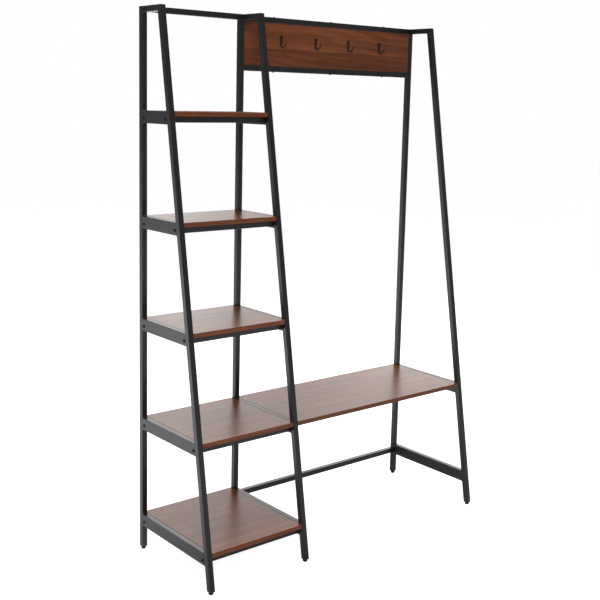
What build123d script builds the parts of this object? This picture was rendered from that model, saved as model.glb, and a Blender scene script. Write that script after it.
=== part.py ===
from build123d import *
import math
import os

# A hall tree: three A-shaped side frames of square steel tube carry a tower of five shelves on
# the left, and a bench seat with a hook panel above it on the right.
# Millimetres. +X to the right, +Y to the wall behind, +Z up. The origin is on the floor, in the
# middle of the footprint.

os.makedirs("parts", exist_ok=True)

# ---- driving dimensions ----
height = 1800
depth = 424
top_depth = 127
tower_bay = 360
bench_bay = 790
foot_height = 12

tube = 19
wall = 1.2
tube_corner = 1.5
bore_corner = 0.4
side_rail_height = 40

lowest_shelf = 127
shelf_pitch = 337.5
shelf_count = 5
bench_level = 1
board = 15
board_edge = 1.0
board_gap = 1.0
panel_band = 185
bench_rear_inset = 57
bench_front_inset = 114
tower_screw_shares = (0.2, 0.8)
bench_screw_shares = (0.1, 0.5, 0.9)
panel_screw_shares = (1 / 6, 1 / 2, 5 / 6)

bolt_shank = 3.0
bolt_hole = 3.1
bolt_head = 5.5
bolt_head_height = 3.0
bolt_reach = 33
nut_block = 12
screw_radius = 2.0
screw_hole = 2.1
screw_head = 4.0
screw_head_height = 2.2
sunk_head = 3.9
sink_depth = 2.0
sink_taper = 45
screw_in_wood = 10
screw_reach = 9
head_taper = 20

foot_radius = 8.0
foot_flat = 5.0
foot_dome_height = 4.0
foot_shoulder = 2.0
stem_radius = 4.0
stem_hole = 4.06
stem_length = 26
stem_chamfer = 1.0
insert_rim = 2.5
insert_depth = 18
insert_overhang = 0.3
insert_slack = 0.1
foot_seat_gap = 0.1

hook_count = 4
hook_pitch = 157
hook_top_drop = 40
plate_length = 40
plate_top_width = 12
plate_low_width = 8
plate_thickness = 2.5
plate_crown = 3.0
plate_toe = 2.0
hook_screw_high = 6
hook_screw_low = 17
hook_screw_head = 2.9
hook_screw_head_height = 1.2
arm_radius = 2.2
arm_foot = 3.0
arm_dip = 25
arm_reach = 30
arm_tip_rise = 14
hook_ball = 3.0

# ---- places worked out from them ----
overall_width = 3 * tube + tower_bay + bench_bay
left_x = -overall_width / 2
middle_x = left_x + tube + tower_bay
right_x = middle_x + tube + bench_bay
back_y = depth / 2
leg_face_y = back_y - tube
rear_bar_y = leg_face_y - tube / 2
top_bar_z = height - tube / 2

lean = (depth - top_depth) / (height - foot_height)
lean_angle = math.atan(lean)
leg_run = tube / math.cos(lean_angle)

shelf_tops = [lowest_shelf + shelf_pitch * level for level in range(shelf_count)]
bench_top = shelf_tops[bench_level]
panel_low_z = height - panel_band
panel_rail_z = [height - tube / 2, panel_low_z + tube / 2]


def front_face(z):
    """The y of a front leg's front face at height z."""
    return -back_y + lean * (z - foot_height)


def bar_z(shelf_top):
    """The middle height of the cross bars under a board."""
    return shelf_top - board - tube / 2


def front_bar_y(shelf_top):
    """The middle of a front cross bar, which lies just behind the front legs."""
    return front_face(bar_z(shelf_top)) + 1.5 * tube


def facing_front(x, y, z):
    """An upright plane that faces the front, through a point."""
    return Plane(origin=(x, y, z), x_dir=(1, 0, 0), z_dir=(0, -1, 0))


def save(piece, name):
    piece.part.label = name
    export_step(piece.part, f"parts/{name}.step")


# ---- planes that cut the frame tubes ----
floor_cut = Plane.XY.offset(foot_height)
leg_back_cut = Plane(
    origin=(0, front_face(0) + leg_run, 0), x_dir=(1, 0, 0), z_dir=(0, 1, -lean)
)
mitre_top_y = front_face(height)
mitre_low_y = front_face(height - tube) + leg_run
mitre_cut = Plane(
    origin=(0, mitre_top_y, height), x_dir=(1, 0, 0), z_dir=(0, tube, mitre_low_y - mitre_top_y)
)

# ---- where bolts pass through each frame, as (y, z) ----
shelf_bolts = [(rear_bar_y, bar_z(top)) for top in shelf_tops]
shelf_bolts += [(front_bar_y(top), bar_z(top)) for top in shelf_tops]
tower_bolts = shelf_bolts + [(rear_bar_y, top_bar_z)]
bench_bar_y = [leg_face_y - bench_rear_inset, front_face(bench_top) + bench_front_inset]
back_bar_z = panel_rail_z + [bar_z(lowest_shelf)]
bench_bolts = [(y, bar_z(bench_top)) for y in bench_bar_y]
bench_bolts += [(back_y - tube / 2, z) for z in back_bar_z]
frame_bolts_at = {
    "left": tower_bolts,
    "middle": tower_bolts + bench_bolts,
    "right": bench_bolts,
}
frame_x = {"left": left_x, "middle": middle_x, "right": right_x}
frame_levels = {
    "left": list(range(shelf_count)),
    "middle": list(range(shelf_count)),
    "right": [0, bench_level],
}


def drill_frame(side):
    """Cut the side frame's bolt holes through the tube that is being made."""
    with BuildSketch(Plane.YZ.offset(frame_x[side])) as holes:
        with Locations(*frame_bolts_at[side]):
            Circle(bolt_hole)
    extrude(holes.sketch, amount=tube, mode=Mode.SUBTRACT)


def tube_section(width, tall):
    """A rounded rectangular tube's section, drawn in the open sketch."""
    RectangleRounded(width, tall, tube_corner)
    RectangleRounded(width - 2 * wall, tall - 2 * wall, bore_corner, mode=Mode.SUBTRACT)


# ---- side frames: legs, top bars and side rails ----
for side in ("left", "middle", "right"):
    centre_x = frame_x[side] + tube / 2

    # The rear leg stands upright and is closed by a flat cap at its top.
    leg_foot = Plane(origin=(centre_x, back_y - tube / 2, foot_height))
    with BuildPart() as rear_leg:
        with BuildSketch(leg_foot):
            RectangleRounded(tube, tube, tube_corner)
        extrude(amount=height - foot_height)
        with BuildSketch(leg_foot):
            RectangleRounded(tube - 2 * wall, tube - 2 * wall, bore_corner)
        extrude(amount=height - foot_height - wall, mode=Mode.SUBTRACT)
        drill_frame(side)
    save(rear_leg, f"{side}_rear_leg")

    # The front leg leans back to the top bar, with a mitre at the top and a cut level with the floor.
    slant_start = Plane(
        origin=(centre_x, front_face(0) + leg_run / 2, 0), x_dir=(1, 0, 0), z_dir=(0, lean, 1)
    )
    with BuildPart() as front_leg:
        with BuildSketch(slant_start):
            tube_section(tube, tube)
        extrude(amount=(height + 2 * tube) / math.cos(lean_angle))
        split(bisect_by=floor_cut, keep=Keep.TOP)
        split(bisect_by=mitre_cut, keep=Keep.BOTTOM)
    save(front_leg, f"{side}_front_leg")

    # The short top bar runs from the rear leg to the mitre.
    with BuildPart() as top_bar:
        with BuildSketch(facing_front(centre_x, leg_face_y, top_bar_z)):
            tube_section(tube, tube)
        extrude(amount=top_depth)
        split(bisect_by=mitre_cut, keep=Keep.TOP)
        drill_frame(side)
    save(top_bar, f"{side}_top_bar")

    # Side rails fit between the rear leg and the back of the front leg.
    for level in frame_levels[side]:
        rail_z = shelf_tops[level] - side_rail_height / 2
        with BuildPart() as side_rail:
            with BuildSketch(facing_front(centre_x, leg_face_y, rail_z)):
                tube_section(tube, side_rail_height)
            extrude(amount=depth)
            split(bisect_by=leg_back_cut, keep=Keep.TOP)
            drill_frame(side)
        save(side_rail, f"{side}_side_rail_{level + 1}")


def cross_bar(name, start_x, span, y, z, screws_x=(), sunk=False):
    """A square tube along X between two frames, drilled for the screws that hold its board.

    Under a board the holes are countersunk from below, so that the heads lie flush.
    """
    with BuildPart() as bar:
        with BuildSketch(Plane.YZ.offset(start_x)):
            with Locations((y, z)):
                tube_section(tube, tube)
        extrude(amount=span)
        if screws_x:
            with BuildSketch(Plane.XY.offset(z - tube)):
                with Locations(*[(x, y) for x in screws_x]):
                    Circle(screw_hole)
            extrude(amount=2 * tube, mode=Mode.SUBTRACT)
        if sunk:
            with BuildSketch(Plane.XY.offset(z - tube / 2)):
                with Locations(*[(x, y) for x in screws_x]):
                    Circle(screw_head)
            extrude(amount=sink_depth, taper=sink_taper, mode=Mode.SUBTRACT)
    save(bar, name)


def level_board(name, start_x, span, top, screws_at):
    """A laminated board that lies between two frames, with pilot holes from below."""
    front_y = front_face(top)
    with BuildPart() as panel:
        with BuildSketch(Plane.XY.offset(top - board)):
            with Locations((start_x + span / 2, (front_y + back_y) / 2)):
                Rectangle(span - 2 * board_gap, back_y - front_y)
        extrude(amount=board)
        chamfer(panel.edges().filter_by(Axis.X).group_by(Axis.Y)[0], board_edge)
        with BuildSketch(Plane.XY.offset(top - board)):
            with Locations(*screws_at):
                Circle(screw_hole)
        extrude(amount=screw_in_wood, mode=Mode.SUBTRACT)
    save(panel, name)


# ---- tower: cross bars and shelf boards ----
tower_start = left_x + tube
tower_screws_x = [tower_start + tower_bay * share for share in tower_screw_shares]
board_screws_at = []
for level, top in enumerate(shelf_tops):
    ends = {"front": front_bar_y(top), "rear": rear_bar_y}
    for end, y in ends.items():
        bar_name = f"shelf_{end}_bar_{level + 1}"
        cross_bar(bar_name, tower_start, tower_bay, y, bar_z(top), tower_screws_x, sunk=True)
    spots = [(x, y) for x in tower_screws_x for y in ends.values()]
    level_board(f"shelf_board_{level + 1}", tower_start, tower_bay, top, spots)
    board_screws_at += [(x, y, bar_z(top) - tube / 2) for x, y in spots]
cross_bar("top_rear_bar", tower_start, tower_bay, rear_bar_y, top_bar_z)

# ---- bench: two hidden bars, the seat board and the low back stretcher ----
bench_start = middle_x + tube
bench_screws_x = [bench_start + bench_bay * share for share in bench_screw_shares]
for name, y in zip(("bench_rear_bar", "bench_front_bar"), bench_bar_y):
    cross_bar(name, bench_start, bench_bay, y, bar_z(bench_top), bench_screws_x, sunk=True)
bench_spots = [(x, y) for x in bench_screws_x for y in bench_bar_y]
level_board("bench_board", bench_start, bench_bay, bench_top, bench_spots)
board_screws_at += [(x, y, bar_z(bench_top) - tube / 2) for x, y in bench_spots]
cross_bar("low_back_stretcher", bench_start, bench_bay, back_y - tube / 2, bar_z(lowest_shelf))

# ---- hook panel: a board between two rails, held by screws from above and below ----
panel_y = back_y - tube / 2
panel_front_y = panel_y - board / 2
panel_screws_x = [bench_start + bench_bay * share for share in panel_screw_shares]
for name, z in zip(("hook_panel_top_rail", "hook_panel_bottom_rail"), panel_rail_z):
    cross_bar(name, bench_start, bench_bay, panel_y, z, panel_screws_x)

bench_middle_x = bench_start + bench_bay / 2
first_hook_x = bench_middle_x - hook_pitch * (hook_count - 1) / 2
hook_x = [first_hook_x + hook_pitch * number for number in range(hook_count)]
plate_top_z = height - tube - hook_top_drop
plate_low_z = plate_top_z - plate_length
hook_screw_z = [plate_top_z - hook_screw_high, plate_low_z + hook_screw_low]

with BuildPart() as hook_panel:
    with BuildSketch(Plane.XZ.offset(-(panel_y + board / 2))):
        with Locations((bench_middle_x, (height + panel_low_z) / 2)):
            Rectangle(bench_bay - 2 * board_gap, panel_band - 2 * tube)
    extrude(amount=board)
    for start, way in ((height - tube, -1), (panel_low_z + tube, 1)):
        with BuildSketch(Plane.XY.offset(start)):
            with Locations(*[(x, panel_y) for x in panel_screws_x]):
                Circle(screw_hole)
        extrude(amount=way * screw_in_wood, mode=Mode.SUBTRACT)
    with BuildSketch(Plane.XZ.offset(-panel_front_y)):
        with Locations(*[(x, z) for x in hook_x for z in hook_screw_z]):
            Circle(screw_hole)
    extrude(amount=-screw_in_wood, mode=Mode.SUBTRACT)
save(hook_panel, "hook_panel_board")

# ---- hooks: a tapered plate, and a round arm that leaves its foot, dips and turns up ----
plate_face_y = panel_front_y - plate_thickness
arm_root_z = plate_low_z + arm_foot
arm_way = Vector(0, -math.cos(math.radians(arm_dip)), -math.sin(math.radians(arm_dip)))
half_top = plate_top_width / 2
half_low = plate_low_width / 2
for number, x in enumerate(hook_x):
    with BuildPart() as hook:
        with BuildSketch(Plane.XZ.offset(-panel_front_y)):
            with BuildLine():
                top_left = (x - half_top, plate_top_z - plate_crown)
                top_right = (x + half_top, plate_top_z - plate_crown)
                low_left = (x - half_low, plate_low_z + plate_toe)
                low_right = (x + half_low, plate_low_z + plate_toe)
                Line(top_left, low_left)
                ThreePointArc(low_left, (x, plate_low_z), low_right)
                Line(low_right, top_right)
                ThreePointArc(top_right, (x, plate_top_z), top_left)
            make_face()
        extrude(amount=plate_thickness)
        with BuildSketch(Plane.XZ.offset(-panel_front_y)):
            with Locations(*[(x, z) for z in hook_screw_z]):
                Circle(screw_hole)
        extrude(amount=plate_thickness, mode=Mode.SUBTRACT)
        with BuildLine(Plane.YZ.offset(x)) as arm_path:
            root = (plate_face_y + plate_thickness / 2, arm_root_z)
            tip = (plate_face_y - arm_reach, arm_root_z + arm_tip_rise)
            arm = TangentArc(root, tip, tangent=arm_way)
        with BuildSketch(Plane(origin=arm @ 0, z_dir=arm % 0)):
            Circle(arm_radius)
        sweep(path=arm_path.line)
        with Locations(Plane(origin=arm @ 1)):
            Sphere(hook_ball)
    save(hook, f"hook_{number + 1}")

# ---- fasteners ----
with BuildPart() as hook_screws:
    for x in hook_x:
        for z in hook_screw_z:
            with BuildSketch(Plane(origin=(x, plate_face_y, z), z_dir=(0, 1, 0))):
                Circle(screw_radius)
            extrude(amount=plate_thickness + screw_reach)
            with BuildSketch(Plane(origin=(x, plate_face_y, z), z_dir=(0, -1, 0))):
                Circle(hook_screw_head)
            extrude(amount=hook_screw_head_height, taper=head_taper)
save(hook_screws, "hook_screws")


def screw(head_at, way, sunk):
    """A wood screw through a cross bar, with its shank along way (+1 up, -1 down)."""
    inward = Plane(origin=head_at, z_dir=(0, 0, way))
    outward = Plane(origin=head_at, z_dir=(0, 0, -way))
    with BuildSketch(inward) as shank:
        Circle(screw_radius)
    extrude(shank.sketch, amount=tube + screw_reach)
    if sunk:
        with BuildSketch(inward) as head:
            Circle(sunk_head)
        extrude(head.sketch, amount=sink_depth, taper=sink_taper)
    else:
        with BuildSketch(outward) as head:
            Circle(screw_head)
        extrude(head.sketch, amount=screw_head_height, taper=head_taper)


with BuildPart() as board_screws:
    for spot in board_screws_at:
        screw(spot, 1, sunk=True)
save(board_screws, "board_screws")

with BuildPart() as panel_screws:
    for x in panel_screws_x:
        screw((x, panel_y, height), -1, sunk=False)
        screw((x, panel_y, panel_low_z), 1, sunk=False)
save(panel_screws, "panel_screws")


def bolt(x, y, z, way):
    """A button-head bolt whose head rests on a frame's face at x and whose shank runs along way."""
    with BuildSketch(Plane(origin=(x, y, z), z_dir=(way, 0, 0))) as shank:
        Circle(bolt_shank)
    extrude(shank.sketch, amount=bolt_reach)
    with BuildSketch(Plane(origin=(x, y, z), z_dir=(-way, 0, 0))) as head:
        Circle(bolt_head)
    extrude(head.sketch, amount=bolt_head_height, taper=head_taper)


with BuildPart() as frame_bolts:
    for y, z in tower_bolts:
        bolt(left_x, y, z, 1)
        bolt(middle_x + tube, y, z, -1)
    for y, z in bench_bolts:
        bolt(middle_x, y, z, 1)
        bolt(right_x + tube, y, z, -1)
save(frame_bolts, "frame_bolts")

# A threaded block is welded in each end of every cross member.
with BuildPart() as end_nuts:
    ends = [(tower_start, tower_bolts), (middle_x - nut_block, tower_bolts)]
    ends += [(bench_start, bench_bolts), (right_x - nut_block, bench_bolts)]
    for start, places in ends:
        with BuildSketch(Plane.YZ.offset(start)):
            with Locations(*places):
                RectangleRounded(tube - 2 * wall, tube - 2 * wall, bore_corner)
                Circle(bolt_hole, mode=Mode.SUBTRACT)
        extrude(amount=nut_block)
save(end_nuts, "end_nuts")

# ---- leg end inserts and levelling feet ----
leg_ends = []
for side in ("left", "middle", "right"):
    centre_x = frame_x[side] + tube / 2
    leg_ends.append((f"{side}_rear", centre_x, back_y - tube / 2, 0.0, tube))
    leg_ends.append((f"{side}_front", centre_x, front_face(foot_height) + leg_run / 2, lean, leg_run))

bore = tube - 2 * wall - insert_slack
with BuildPart() as leg_end_inserts:
    for name, x, y, slope, run in leg_ends:
        with BuildSketch(Plane(origin=(x, y, foot_height))):
            RectangleRounded(tube + 2 * insert_overhang, run + 2 * insert_overhang, tube_corner)
        extrude(amount=-insert_rim, taper=head_taper)
        with BuildSketch(Plane(origin=(x, y, foot_height))):
            RectangleRounded(bore, bore * run / tube, bore_corner)
        extrude(amount=insert_depth, dir=(0, slope, 1))
        with BuildSketch(Plane(origin=(x, y, foot_height - 2 * insert_rim))):
            Circle(stem_hole)
        extrude(amount=insert_depth + 4 * insert_rim, mode=Mode.SUBTRACT)
save(leg_end_inserts, "leg_end_inserts")

# Each foot is turned in one piece: a low dome, a shoulder under the insert and the stem.
foot_top = foot_height - insert_rim - foot_seat_gap
for name, x, y, slope, run in leg_ends:
    with BuildPart() as foot:
        with BuildSketch(facing_front(x, y, 0)):
            with BuildLine():
                TangentArc((foot_radius, foot_dome_height), (foot_flat, 0), tangent=(0, -1))
                Polyline(
                    (foot_radius, foot_dome_height),
                    (foot_radius, foot_top - foot_shoulder),
                    (foot_radius - foot_shoulder, foot_top),
                    (stem_radius, foot_top),
                    (stem_radius, stem_length - stem_chamfer),
                    (stem_radius - stem_chamfer, stem_length),
                    (0, stem_length),
                    (0, 0),
                    (foot_flat, 0),
                )
            make_face()
        revolve(axis=Axis((x, y, 0), (0, 0, 1)))
    save(foot, f"{name}_foot")
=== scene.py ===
import math

import bmesh
import bpy
from mathutils import Euler, Matrix, Vector


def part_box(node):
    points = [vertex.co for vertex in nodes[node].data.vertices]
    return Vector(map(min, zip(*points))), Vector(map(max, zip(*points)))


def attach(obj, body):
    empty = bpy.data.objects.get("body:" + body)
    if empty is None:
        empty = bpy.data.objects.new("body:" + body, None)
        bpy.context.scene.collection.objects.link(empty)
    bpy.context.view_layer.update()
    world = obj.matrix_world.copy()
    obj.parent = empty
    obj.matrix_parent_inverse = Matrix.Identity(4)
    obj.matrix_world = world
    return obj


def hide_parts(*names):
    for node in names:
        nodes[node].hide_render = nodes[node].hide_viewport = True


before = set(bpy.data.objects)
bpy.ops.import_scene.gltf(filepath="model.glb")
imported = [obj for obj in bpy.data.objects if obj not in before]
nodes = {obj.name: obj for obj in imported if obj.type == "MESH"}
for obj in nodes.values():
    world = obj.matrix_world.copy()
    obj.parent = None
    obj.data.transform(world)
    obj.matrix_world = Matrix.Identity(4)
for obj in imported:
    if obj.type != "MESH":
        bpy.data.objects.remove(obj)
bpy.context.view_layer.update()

# ---- Side frames: legs, top bars and side rails ----
# Each A-shaped side frame is cut from 19 mm square and 19 by 40 mm rectangular steel tube. The
# tubes are mitred and welded on a jig, dressed, and sprayed with satin black powder coat, which
# bakes to a fine, slightly pebbled skin.


def node(tree, kind, inputs=None, **settings):
    """Add a shader node. Inputs are set to plain values, or linked where a socket is given."""
    made = tree.nodes.new(kind)
    for name, value in settings.items():
        setattr(made, name, value)
    for name, value in (inputs or {}).items():
        if isinstance(value, bpy.types.NodeSocket):
            tree.links.new(value, made.inputs[name])
        else:
            made.inputs[name].default_value = value
    return made


def new_finish(name):
    """A material with only its shader and output, and the coordinates that its pattern uses."""
    finish = bpy.data.materials.new(name)
    finish.use_nodes = True
    tree = finish.node_tree
    place = node(tree, "ShaderNodeTexCoord").outputs["Object"]
    return finish, tree, tree.nodes["Principled BSDF"], place


def shades(tree, factor, *stops):
    """A colour ramp through (position, colour) stops."""
    ramp = node(tree, "ShaderNodeValToRGB", {"Fac": factor})
    band = ramp.color_ramp
    while len(band.elements) < len(stops):
        band.elements.new(1.0)
    for element, (position, colour) in zip(band.elements, stops):
        element.position = position
        element.color = (*colour, 1.0)
    return ramp.outputs["Color"]


def spread(tree, factor, low, high):
    """Map a 0 to 1 value onto low to high."""
    mapped = node(tree, "ShaderNodeMapRange", {"Value": factor, "To Min": low, "To Max": high})
    return mapped.outputs["Result"]


def coat(name, dark, light, smooth, rough, gloss, grain_size, grain_depth):
    """A sprayed or moulded black skin: soft cloudiness, patchy sheen and a fine pebble."""
    finish, tree, shader, place = new_finish(name)
    cloud = node(tree, "ShaderNodeTexNoise", {"Vector": place, "Scale": 7.0, "Detail": 3.0})
    pebble = node(tree, "ShaderNodeTexNoise", {"Vector": place, "Scale": 1 / grain_size, "Detail": 2.0})
    tone = shades(tree, cloud.outputs["Fac"], (0.3, dark), (0.7, light))
    tree.links.new(tone, shader.inputs["Base Color"])
    tree.links.new(spread(tree, cloud.outputs["Fac"], smooth, rough), shader.inputs["Roughness"])
    shader.inputs["Specular IOR Level"].default_value = gloss
    pebbled = {"Height": pebble.outputs["Fac"], "Strength": 0.35, "Distance": grain_depth}
    bump = node(tree, "ShaderNodeBump", pebbled)
    tree.links.new(bump.outputs["Normal"], shader.inputs["Normal"])
    return finish


def dress(finish, *names):
    """Give CAD nodes their finish, in the slot that they already have."""
    for name in names:
        for slot in nodes[name].material_slots:
            slot.material = finish


steel_coat = coat(
    "satin_black_powder_coat",
    dark=(0.0065, 0.0062, 0.0068),
    light=(0.0105, 0.0100, 0.0107),
    smooth=0.30,
    rough=0.38,
    gloss=1.0,
    grain_size=0.0016,
    grain_depth=0.00006,
)
lilac_sheen = (0.98, 0.96, 1.0, 1.0)
coat_shader = steel_coat.node_tree.nodes["Principled BSDF"]
coat_shader.inputs["Specular Tint"].default_value = lilac_sheen
sides = ("left", "middle", "right")
side_frame = [f"{side}_{piece}" for side in sides for piece in ("rear_leg", "front_leg", "top_bar")]
side_rails = [name for name in nodes if "_side_rail_" in name]
dress(steel_coat, *side_frame, *side_rails)

# ---- Weld beads of the side frames ----
# The outer faces of the joints are ground flush. In the corners above and below each rail, and
# under the top bar, the bead is left as it was run: a small rippled fillet under the powder coat.

bead_width = 0.0030
bead_hollow = 1.5
bead_inset = 0.0012
ripple_pitch = 0.0021
ripple_height = 0.11
bead_step = 0.00035
bead_points = 7
sharp_angle = math.radians(40)
end_size = 0.35
end_taper = 1 / 6


def skin_rings(mesh, rings):
    """Close the surface between rings of the same number of points, and cap both ends."""
    for near, far in zip(rings, rings[1:]):
        for one, two, three, four in zip(near, near[1:] + near[:1], far[1:] + far[:1], far):
            mesh.faces.new((one, two, three, four))
    mesh.faces.new(rings[0])
    mesh.faces.new(rings[-1])


def run_bead(mesh, corner, length, face_a, face_b):
    """Add one fillet bead along X from corner, between faces that run from it as face_a and face_b."""
    steps = round(length / bead_step)
    rings = []
    for step in range(steps + 1):
        x = length * step / steps
        nearest_end = min(step, steps - step) / steps
        fullness = end_size + (1 - end_size) * math.sin(math.pi / 2 * min(1.0, nearest_end / end_taper))
        ring = [mesh.verts.new(corner + Vector((x, 0, 0)))]
        for point in range(bead_points):
            turn = math.pi / 2 * point / (bead_points - 1)
            crescent = x + 0.5 * bead_width * math.sin(2 * turn)
            ripple = 1 + ripple_height * math.sin(2 * math.pi * crescent / ripple_pitch)
            out = face_a * math.cos(turn) ** bead_hollow + face_b * math.sin(turn) ** bead_hollow
            out *= bead_width * ripple * fullness
            ring.append(mesh.verts.new(corner + Vector((x, 0, 0)) + out))
        rings.append(ring)
    skin_rings(mesh, rings)


def finish_piece(name, mesh, finish, slot, *replaced):
    """Turn a bmesh into a smooth-shaded piece, in its finish, that rides on the frame."""
    bmesh.ops.recalc_face_normals(mesh, faces=mesh.faces)
    for face in mesh.faces:
        face.smooth = True
    data = bpy.data.meshes.new(name)
    mesh.to_mesh(data)
    mesh.free()
    data.set_sharp_from_angle(angle=sharp_angle)
    data.materials.append(finish)
    piece = bpy.data.objects.new(name, data)
    bpy.context.scene.collection.objects.link(piece)
    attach(piece, "root")
    if replaced:
        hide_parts(*replaced)


lowest_rail, highest_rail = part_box("left_side_rail_1")[0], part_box("left_side_rail_5")[0]
lean = (highest_rail.y - lowest_rail.y) / (highest_rail.z - lowest_rail.z)
up = Vector((0, 0, 1))
up_the_slant = Vector((0, lean, 1)).normalized()
forward, backward = Vector((0, -1, 0)), Vector((0, 1, 0))
for side in sides:
    beads = bmesh.new()
    for rail in [name for name in side_rails if name.startswith(side)]:
        low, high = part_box(rail)
        start, length = low.x + bead_inset, high.x - low.x - 2 * bead_inset
        slant_top_y = low.y + lean * (high.z - low.z)
        run_bead(beads, Vector((start, high.y, high.z)), length, forward, up)
        run_bead(beads, Vector((start, high.y, low.z)), length, forward, -up)
        run_bead(beads, Vector((start, slant_top_y, high.z)), length, backward, up_the_slant)
        run_bead(beads, Vector((start, low.y, low.z)), length, backward, -up_the_slant)
    low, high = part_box(f"{side}_top_bar")
    mitre_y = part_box(f"{side}_front_leg")[1].y
    start, length = low.x + bead_inset, high.x - low.x - 2 * bead_inset
    run_bead(beads, Vector((start, high.y, low.z)), length, forward, -up)
    run_bead(beads, Vector((start, mitre_y, low.z)), length, backward, -up_the_slant)
    finish_piece(f"{side}_weld_beads", beads, steel_coat, "frame_steel")

# ---- Cross bars and stretchers ----
# Square tubes of the same stock and coat, cut to the width of a bay. Each is bolted between two
# side frames, under a board, along the back or above and below the hook panel.

cross_bars = [f"shelf_{end}_bar_{number}" for end in ("front", "rear") for number in range(1, 6)]
cross_bars += ["top_rear_bar", "bench_rear_bar", "bench_front_bar", "low_back_stretcher"]
cross_bars += ["hook_panel_top_rail", "hook_panel_bottom_rail"]
dress(steel_coat, *cross_bars)

# ---- Threaded blocks in the bar ends ----
# A steel block is pressed into each end of a bar and tapped for its bolt. It is bare metal with
# fine machining marks, out of sight once the bay is bolted up.

block_steel, tree, shader, place = new_finish("bare_machined_steel")
marks = node(tree, "ShaderNodeTexNoise", {"Vector": place, "Scale": 600.0, "Detail": 4.0})
tree.links.new(
    shades(tree, marks.outputs["Fac"], (0.35, (0.30, 0.30, 0.31)), (0.65, (0.50, 0.50, 0.52))),
    shader.inputs["Base Color"],
)
tree.links.new(spread(tree, marks.outputs["Fac"], 0.28, 0.45), shader.inputs["Roughness"])
shader.inputs["Metallic"].default_value = 1.0
dress(block_steel, "end_nuts")

# ---- Shelf boards and bench seat ----
# Particle board, 15 mm thick, faced and edged with a walnut-print laminate. The print is of planks
# about 90 mm wide, laid side by side with their grain along the bay, under a satin lacquer.

plank_width = 0.088
shelf_pitch = 0.3375
print_step = 0.031
level_seed = 7.0
seed_shift = (3.7, 1.3)
figure_stretch = 0.07
fibres_per_metre = (22.0, 1100.0, 1100.0)
streak_share = 0.35


def walnut(name, across, first_seam, level_pitch, pale_tone, dark_tone, line_share):
    """Walnut-print laminate, with planks side by side on the across axis, pale and dark in turn."""
    finish, tree, shader, place = new_finish(name)
    axes = node(tree, "ShaderNodeSeparateXYZ", {"Vector": place})
    along, side, height = axes.outputs["X"], axes.outputs[across], axes.outputs["Z"]

    def reckon(operation, first, second=0.0):
        return node(tree, "ShaderNodeMath", {0: first, 1: second}, operation=operation).outputs[0]

    # Planks: a whole number for each, which shifts its figure and sets its tone. Each board's
    # print starts a little further on than that of the board below.
    level = reckon("FLOOR", reckon("DIVIDE", height, level_pitch))
    moved_on = reckon("MULTIPLY", level, print_step)
    from_seam = reckon("ADD", reckon("SUBTRACT", side, first_seam), moved_on)
    plank = reckon("FLOOR", reckon("DIVIDE", from_seam, plank_width))
    seed = reckon("ADD", plank, reckon("MULTIPLY", level, level_seed))

    # Figure: lines that run the length of the plank and swing gently, close together in places.
    shifted_along = reckon("ADD", along, reckon("MULTIPLY", seed, seed_shift[0]))
    shifted_back = reckon("ADD", axes.outputs["Y"], reckon("MULTIPLY", seed, seed_shift[1]))
    stretched = {"X": reckon("MULTIPLY", shifted_along, figure_stretch), "Y": shifted_back, "Z": height}
    flow = node(tree, "ShaderNodeCombineXYZ", stretched).outputs["Vector"]
    growth = node(
        tree,
        "ShaderNodeTexWave",
        {"Vector": flow, "Scale": 26.0, "Distortion": 22.0, "Detail": 3.0, "Detail Scale": 0.45},
        bands_direction="DIAGONAL",
        wave_profile="SIN",
    )
    drift = node(tree, "ShaderNodeTexNoise", {"Vector": flow, "Scale": 30.0, "Detail": 2.0})
    streak = node(tree, "ShaderNodeTexNoise", {"Vector": flow, "Scale": 260.0, "Detail": 4.0})
    fibres = node(
        tree, "ShaderNodeVectorMath", {0: place, 1: fibres_per_metre}, operation="MULTIPLY"
    ).outputs["Vector"]
    pores = node(tree, "ShaderNodeTexNoise", {"Vector": fibres, "Scale": 1.0, "Detail": 3.0})

    # Colour: growth lines and streaks over a broad drift, the plank's tone, and dark pores.
    figure = reckon("MULTIPLY", streak.outputs["Fac"], streak_share)
    for part, share in ((growth, line_share), (drift, 1 - streak_share - line_share)):
        figure = reckon("ADD", figure, reckon("MULTIPLY", part.outputs["Fac"], share))
    stained = shades(
        tree,
        figure,
        (0.34, (0.140, 0.038, 0.013)),
        (0.50, (0.207, 0.060, 0.021)),
        (0.66, (0.285, 0.090, 0.033)),
    )
    tone = spread(tree, reckon("PINGPONG", plank, 1.0), pale_tone, dark_tone)
    toned = node(tree, "ShaderNodeVectorMath", {0: stained, "Scale": tone}, operation="SCALE")
    pore_mask = shades(tree, pores.outputs["Fac"], (0.30, (0.66, 0.62, 0.60)), (0.45, (1.0, 1.0, 1.0)))
    printed = node(
        tree, "ShaderNodeVectorMath", {0: toned.outputs["Vector"], 1: pore_mask}, operation="MULTIPLY"
    )
    tree.links.new(printed.outputs["Vector"], shader.inputs["Base Color"])

    # Lacquer: satin, a little duller over the pores, with a faint relief along the grain.
    tree.links.new(spread(tree, pores.outputs["Fac"], 0.37, 0.28), shader.inputs["Roughness"])
    relief = node(
        tree, "ShaderNodeBump", {"Height": pores.outputs["Fac"], "Strength": 0.2, "Distance": 0.00004}
    )
    tree.links.new(relief.outputs["Normal"], shader.inputs["Normal"])
    shader.inputs["Specular IOR Level"].default_value = 0.5
    return finish


board_walnut = walnut(
    "walnut_board_laminate",
    across="Y",
    first_seam=-0.02,
    level_pitch=shelf_pitch,
    pale_tone=1.0,
    dark_tone=0.92,
    line_share=0.09,
)
dress(board_walnut, "bench_board", *[f"shelf_board_{number}" for number in range(1, 6)])

# ---- Hook panel ----
# One more length of the same board, set upright between two bars. Its face shows a pale plank
# above a darker one, with the seam a little below the hooks.

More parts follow.
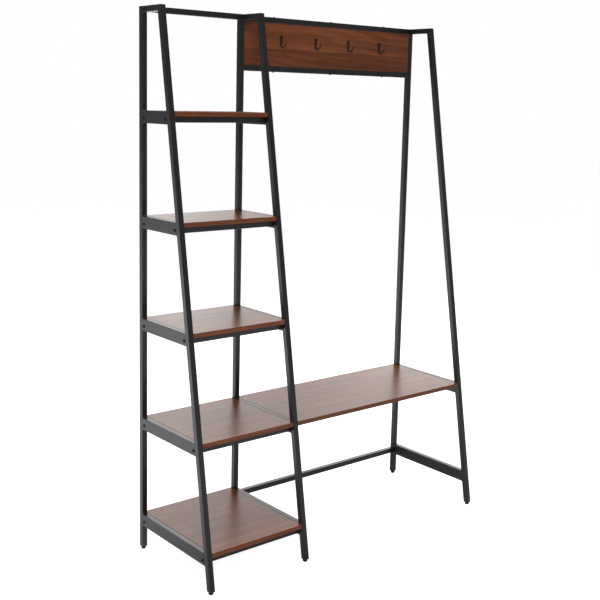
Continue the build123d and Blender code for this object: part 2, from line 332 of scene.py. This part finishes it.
panel_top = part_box("hook_panel_board")[1].z
one_level = 10.0
panel_walnut = walnut(
    "walnut_panel_laminate",
    across="Z",
    first_seam=panel_top - plank_width,
    level_pitch=one_level,
    pale_tone=0.92,
    dark_tone=0.66,
    line_share=0.11,
)
dress(panel_walnut, "hook_panel_board")

# ---- Frame bolts ----
# Black-oxide button-head bolts with a hex socket. Each goes through a side frame into the threaded
# block of a cross bar, and its head sits on the frame's face.

same_point = 1e-6


def fastener_places(name):
    """For each solid of a fastener node: the middle of its head's face, the way in and its length."""
    copy = bmesh.new()
    copy.from_mesh(nodes[name].data)
    bmesh.ops.remove_doubles(copy, verts=copy.verts, dist=same_point)
    waiting = set(copy.verts)
    found = []
    while waiting:
        group, to_follow = [], [waiting.pop()]
        while to_follow:
            vert = to_follow.pop()
            group.append(vert.co.copy())
            for edge in vert.link_edges:
                other = edge.other_vert(vert)
                if other in waiting:
                    waiting.remove(other)
                    to_follow.append(other)
        low = Vector([min(point[axis] for point in group) for axis in range(3)])
        high = Vector([max(point[axis] for point in group) for axis in range(3)])
        axis = max(range(3), key=lambda number: high[number] - low[number])
        middle = (low + high) / 2

        def reach(point):
            return math.hypot(*[point[a] - middle[a] for a in range(3) if a != axis])

        widest = max(group, key=reach)
        face, way = middle.copy(), Vector((0, 0, 0))
        head_is_high = widest[axis] > middle[axis]
        face[axis] = high[axis] if head_is_high else low[axis]
        way[axis] = -1.0 if head_is_high else 1.0
        found.append((face, way, high[axis] - low[axis]))
    copy.free()
    return sorted(found, key=lambda place: tuple(place[0]))


facets = 32
wing_angle = math.pi / 12
wing_root = 0.42
recess_floor = 0.8
point_size = 0.3


def hex_socket(turn, size):
    """The rim of a hex socket whose flats are size from its middle."""
    return size / math.cos((turn + math.pi / 6) % (math.pi / 3) - math.pi / 6)


def cross_recess(turn, size):
    """The rim of a cross recess whose four wings reach size."""
    from_wing = abs((turn + math.pi / 4) % (math.pi / 2) - math.pi / 4)
    return size if from_wing < wing_angle else wing_root * size


def turn_fastener(mesh, face, way, length, head, shank, recess, recess_size, recess_depth):
    """Add one fastener. Its head is (radius, depth) rings, from the recess out and down to the shank."""
    away = Vector((1, 0, 0)) if abs(way.z) > 0.5 else Vector((0, 0, 1))
    across = way.cross(away)
    turns = [2 * math.pi * facet / facets for facet in range(facets)]

    def ring(radii, depth):
        ways_out = [away * math.cos(turn) + across * math.sin(turn) for turn in turns]
        return [mesh.verts.new(face + way * depth + out * r) for out, r in zip(ways_out, radii)]

    top = head[0][1]
    rings = [ring([recess(turn, recess_floor * recess_size) for turn in turns], top + recess_depth)]
    rings.append(ring([recess(turn, recess_size) for turn in turns], top))
    rings += [ring([radius] * facets, depth) for radius, depth in head]
    rings.append(ring([shank] * facets, length - shank))
    rings.append(ring([point_size * shank] * facets, length))
    skin_rings(mesh, rings)


oxide = coat(
    "black_oxide",
    dark=(0.006, 0.006, 0.007),
    light=(0.012, 0.011, 0.012),
    smooth=0.28,
    rough=0.40,
    gloss=0.35,
    grain_size=0.0008,
    grain_depth=0.00003,
)
button_head = [
    (0.0026, 0.0),
    (0.0036, 0.0003),
    (0.0046, 0.0009),
    (0.0053, 0.0018),
    (0.0055, 0.0026),
    (0.0055, 0.0030),
    (0.0030, 0.0030),
]
bolts = bmesh.new()
for face, way, length in fastener_places("frame_bolts"):
    turn_fastener(
        bolts, face, way, length, button_head,
        shank=0.0030, recess=hex_socket, recess_size=0.0016, recess_depth=0.0016,
    )
finish_piece("button_head_bolts", bolts, oxide, "black_screw", "frame_bolts")

# ---- Board and panel screws ----
# Black wood screws with a cross recess. Those under the boards are countersunk flush into the
# bars. Those of the hook panel have pan heads, which stand on its two rails.

flush_head = [(0.0026, 0.0), (0.0038, 0.0), (0.0039, 0.0001), (0.0020, 0.0020)]
pan_head = [
    (0.0024, 0.0),
    (0.0031, 0.0003),
    (0.0037, 0.0009),
    (0.0040, 0.0017),
    (0.0040, 0.0022),
    (0.0020, 0.0022),
]
for node_name, piece_name, head in (
    ("board_screws", "countersunk_board_screws", flush_head),
    ("panel_screws", "pan_head_panel_screws", pan_head),
):
    screws = bmesh.new()
    for face, way, length in fastener_places(node_name):
        turn_fastener(
            screws, face, way, length, head,
            shank=0.0020, recess=cross_recess, recess_size=0.0022, recess_depth=0.0010,
        )
    finish_piece(piece_name, screws, oxide, "black_screw", node_name)

# ---- Coat hooks and their screws ----
# Small single-prong hooks, cast and enamelled black: a tapered plate, and a round arm that dips
# out of its foot and turns up to a ball. Enamel softens every edge. Two small screws hold each.

hook_enamel = coat(
    "black_hook_enamel",
    dark=(0.009, 0.009, 0.010),
    light=(0.015, 0.015, 0.016),
    smooth=0.22,
    rough=0.32,
    gloss=0.6,
    grain_size=0.0025,
    grain_depth=0.0001,
)
casting_grid = 0.00055
for number in range(1, 5):
    shape = nodes[f"hook_{number}"].data.copy()
    shape.materials.clear()
    shape.materials.append(hook_enamel)
    hook = bpy.data.objects.new(f"cast_hook_{number}", shape)
    bpy.context.scene.collection.objects.link(hook)
    cast = hook.modifiers.new("cast", "REMESH")
    cast.mode = "VOXEL"
    cast.voxel_size = casting_grid
    cast.use_smooth_shade = True
    enamel = hook.modifiers.new("enamel", "SMOOTH")
    enamel.factor = 0.5
    enamel.iterations = 5
    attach(hook, "root")
    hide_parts(f"hook_{number}")

small_head = [(0.0016, 0.0), (0.0023, 0.0002), (0.0028, 0.0007), (0.0029, 0.0012), (0.0020, 0.0012)]
screws = bmesh.new()
for face, way, length in fastener_places("hook_screws"):
    turn_fastener(
        screws, face, way, length, small_head,
        shank=0.0020, recess=cross_recess, recess_size=0.0015, recess_depth=0.0008,
    )
finish_piece("cross_head_hook_screws", screws, oxide, "black_screw", "hook_screws")

# ---- Leg-end inserts and levelling feet ----
# Moulded black plastic: an insert is knocked into each leg's open end, and a domed foot screws up
# into it to level the frame.

foot_plastic = coat(
    "moulded_black_plastic",
    dark=(0.013, 0.013, 0.013),
    light=(0.019, 0.019, 0.019),
    smooth=0.42,
    rough=0.52,
    gloss=0.5,
    grain_size=0.0007,
    grain_depth=0.00005,
)
feet = [name for name in nodes if name.endswith("_foot")]
dress(foot_plastic, "leg_end_inserts", *feet)

# ---- Floor, light and camera ----
# A plain white studio: a pale floor that runs out of sight and gives the object a painted glow, a
# backdrop hidden from the camera whose glow is painted light, dim surroundings, and soft boxes in front
# to the left and above.

bpy.context.scene.view_settings.view_transform = "Standard"

floor_size = 80.0
floor_mesh = bpy.data.meshes.new("studio_floor")
corners = [(-1, -1), (1, -1), (1, 1), (-1, 1)]
floor_corners = [(x * floor_size / 2, y * floor_size / 2, 0) for x, y in corners]
floor_mesh.from_pydata(floor_corners, [], [(0, 1, 2, 3)])
floor = bpy.data.objects.new("studio_floor", floor_mesh)
bpy.context.scene.collection.objects.link(floor)
floor_finish_with_glow, tree, shader, place = new_finish("pale_floor_with_painted_glow")
mottle = node(tree, "ShaderNodeTexNoise", {"Vector": place, "Scale": 0.8, "Detail": 2.0})
tree.links.new(
    shades(tree, mottle.outputs["Fac"], (0.3, (0.88, 0.88, 0.88)), (0.7, (0.90, 0.90, 0.90))),
    shader.inputs["Base Color"],
)
shader.inputs["Roughness"].default_value = 0.9
shader.inputs["Specular IOR Level"].default_value = 0.1
shader.inputs["Emission Color"].default_value = (1.0, 1.0, 1.0, 1.0)
shader.inputs["Emission Strength"].default_value = 0.84

# What the object's surfaces see of the floor is a painted glow, not light that falls on it: brightest
# to the left behind, a painted shadow under the bench, and dim again far off.
bright_way = (-0.6, 0.8, 0.0)
towards = node(tree, "ShaderNodeVectorMath", {0: place, 1: bright_way}, operation="DOT_PRODUCT")
share = node(
    tree, "ShaderNodeMapRange", {"Value": towards.outputs["Value"], "From Min": -3.0, "From Max": 3.0}
).outputs["Result"]
painted_floor_light = shades(
    tree,
    share,
    (0.0, (0.55, 0.55, 0.55)),
    (0.4, (0.42, 0.42, 0.42)),
    (0.5, (0.20, 0.20, 0.20)),
    (0.63, (0.80, 0.80, 0.81)),
    (0.80, (1.15, 1.15, 1.18)),
)
distance = node(tree, "ShaderNodeVectorMath", {0: place}, operation="LENGTH").outputs["Value"]
closeness = node(
    tree, "ShaderNodeMapRange", {"Value": distance, "From Min": 8.5, "From Max": 4.5}
).outputs["Result"]
far_share = 0.3
# Painted light and shade: the floor glows towards the object, darker in a painted shadow under the
# bench.
painted_glow = node(
    tree, "ShaderNodeEmission", {"Color": painted_floor_light, "Strength": spread(tree, closeness, far_share, 1.0)}
)
eye = node(tree, "ShaderNodeLightPath").outputs["Is Camera Ray"]
chosen = node(tree, "ShaderNodeMixShader", {0: eye, 1: painted_glow.outputs[0], 2: shader.outputs[0]})
tree.links.new(chosen.outputs[0], tree.nodes["Material Output"].inputs["Surface"])
floor_mesh.materials.append(floor_finish_with_glow)

# The backdrop's glow is painted light, brightest on its right side, at the height of the upper shelves.
wall_left, wall_right, wall_y, wall_top = -3.5, 4.5, 1.7, 3.0
wall_mesh = bpy.data.meshes.new("studio_backdrop")
wall_corners = [(wall_left, 0.0), (wall_right, 0.0), (wall_right, wall_top), (wall_left, wall_top)]
wall_mesh.from_pydata([(x, wall_y, z) for x, z in wall_corners], [], [(0, 1, 2, 3)])
wall = bpy.data.objects.new("studio_backdrop", wall_mesh)
wall.visible_camera = False
bpy.context.scene.collection.objects.link(wall)
backdrop_glow, tree, shader, place = new_finish("glowing_backdrop")
axes = node(tree, "ShaderNodeSeparateXYZ", {"Vector": place})
rise = node(
    tree, "ShaderNodeMapRange", {"Value": axes.outputs["Z"], "From Max": 2.2}
).outputs["Result"]


def levels(factor, white, *stops):
    """Shades of one white, from (position, brightness) stops."""
    return shades(tree, factor, *[(at, [bright * part for part in white]) for at, bright in stops])


cool_white, neutral_white, warm_white = (1.0, 1.0, 1.03), (1.0, 1.0, 1.0), (1.0, 0.975, 0.965)
left_levels = ((0.0, 1.15), (0.27, 0.95), (0.41, 0.62), (0.53, 0.38), (0.77, 0.15))
right_levels = (
    (0.0, 1.25),
    (0.30, 1.65),
    (0.42, 1.85),
    (0.53, 2.00),
    (0.60, 2.70),
    (0.66, 2.50),
    (0.71, 1.00),
    (0.78, 0.38),
    (0.95, 0.15),
)
rightward = node(
    tree, "ShaderNodeMapRange", {"Value": axes.outputs["X"], "From Min": -0.5, "From Max": 0.35}
).outputs["Result"]
both = node(
    tree,
    "ShaderNodeMix",
    {
        "Factor": rightward,
        "A": levels(rise, cool_white, *left_levels),
        "B": levels(rise, warm_white, *right_levels),
    },
    data_type="RGBA",
)
crosswise = node(
    tree, "ShaderNodeMapRange", {"Value": axes.outputs["X"], "From Min": -2.5, "From Max": 2.5}
).outputs["Result"]
cross_levels = (
    (0.0, 1.35),
    (0.13, 1.60),
    (0.155, 1.60),
    (0.18, 0.80),
    (0.35, 0.78),
    (0.60, 1.22),
    (0.67, 0.97),
    (0.76, 0.86),
    (0.92, 1.24),
)
strength = levels(crosswise, neutral_white, *cross_levels)
# Painted light: the backdrop glows by itself, in place of a wall lit by the lamps.
painted_glow = node(tree, "ShaderNodeEmission", {"Color": both.outputs["Result"], "Strength": strength})
tree.links.new(painted_glow.outputs[0], tree.nodes["Material Output"].inputs["Surface"])
wall_mesh.materials.append(backdrop_glow)

# The surroundings are white where the camera sees them. The object is lit by them dimly, and a
# little more from far off to the right.
world = bpy.data.worlds.new("white_studio")
bpy.context.scene.world = world
world.use_nodes = True
tree = world.node_tree
backing = tree.nodes["Background"]
eye = node(tree, "ShaderNodeLightPath").outputs["Is Camera Ray"]
looking = node(tree, "ShaderNodeTexCoord").outputs["Generated"]
light_way = (0.95, -0.30, -0.10)
facing = node(tree, "ShaderNodeVectorMath", {0: looking, 1: light_way}, operation="DOT_PRODUCT")
surround = shades(
    tree,
    facing.outputs["Value"],
    (0.0, (0.17, 0.17, 0.17)),
    (0.76, (0.20, 0.20, 0.20)),
    (0.80, (0.04, 0.04, 0.04)),
    (0.87, (0.06, 0.06, 0.06)),
    (0.92, (0.38, 0.37, 0.38)),
    (1.0, (0.50, 0.49, 0.50)),
)
pure_white = (1.0, 1.0, 1.0, 1.0)
seen = node(
    tree, "ShaderNodeMix", {"Factor": eye, "A": surround, "B": pure_white}, data_type="RGBA"
)
tree.links.new(seen.outputs["Result"], backing.inputs["Color"])


def soft_box(name, place, aim, size, power, glints):
    """A square soft light that faces the point aim. It casts glints only if asked."""
    data = bpy.data.lights.new(name, "AREA")
    data.shape = "SQUARE"
    data.size = size
    data.energy = power
    lamp = bpy.data.objects.new(name, data)
    lamp.location = place
    lamp.rotation_euler = (Vector(aim) - Vector(place)).to_track_quat("-Z", "Y").to_euler()
    lamp.visible_camera = False
    lamp.visible_glossy = glints
    bpy.context.scene.collection.objects.link(lamp)


object_middle = (0.0, 0.0, 0.9)
soft_box("front_soft_box", (-2.6, -3.6, 3.0), object_middle, size=1.8, power=112.0, glints=False)
soft_box("top_soft_box", (-0.7, 0.0, 3.5), object_middle, size=1.4, power=32.0, glints=True)

camera_place = (-2.2538, -2.6016, 1.5222)
camera_yaw = 0.6915
camera_pitch = 0.1525
camera_roll = 0.0230
camera_lens = 60.09
sensor_width = 36.0
camera_shift = -0.0775
camera_data = bpy.data.cameras.new("studio_camera")
camera_data.lens = camera_lens
camera_data.sensor_width = sensor_width
camera_data.shift_y = camera_shift
camera = bpy.data.objects.new("studio_camera", camera_data)
turn = Euler((math.pi / 2 - camera_pitch, 0.0, -camera_yaw)).to_matrix()
turn = turn @ Matrix.Rotation(camera_roll, 3, "Z")
camera.matrix_world = Matrix.Translation(camera_place) @ turn.to_4x4()
bpy.context.scene.collection.objects.link(camera)
bpy.context.scene.camera = camera
